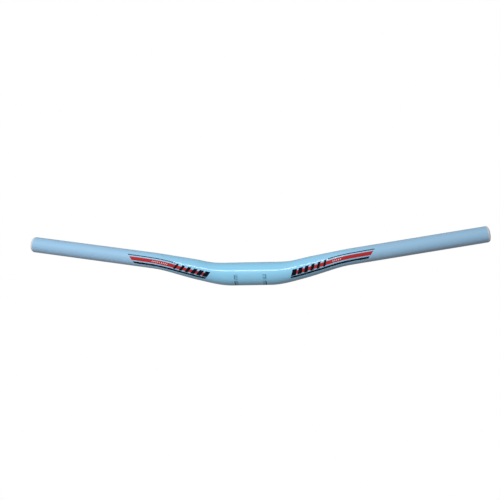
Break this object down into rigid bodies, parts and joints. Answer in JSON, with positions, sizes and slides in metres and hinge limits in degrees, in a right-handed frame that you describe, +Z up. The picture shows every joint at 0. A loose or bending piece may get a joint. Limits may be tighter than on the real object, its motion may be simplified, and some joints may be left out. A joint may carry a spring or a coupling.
{
  "type": "riser handlebar",
  "caption": "Low-rise bicycle handlebar: one butted tube, bent and tapered from a wide clamp to two swept grips, with printed stripes.",
  "frame": {"origin": "middle of the clamp, on the tube's axis", "axes": "+X along the bar to the rider's right end, -Y forwards, +Z up"},
  "size_m": [0.6438, 0.0576, 0.0654],
  "materials": {
    "painted_tube": "gloss",
    "red_print": "gloss",
    "black_print": "gloss",
    "scale_print": "gloss"
  },
  "bodies": {
    "root": {"handlebar": "painted_tube", "left_band_red": "red_print", "left_stripes_black": "black_print", "right_band_red": "red_print", "right_stripes_black": "black_print", "clamp_scale": "scale_print"}
  },
  "joints": []
}
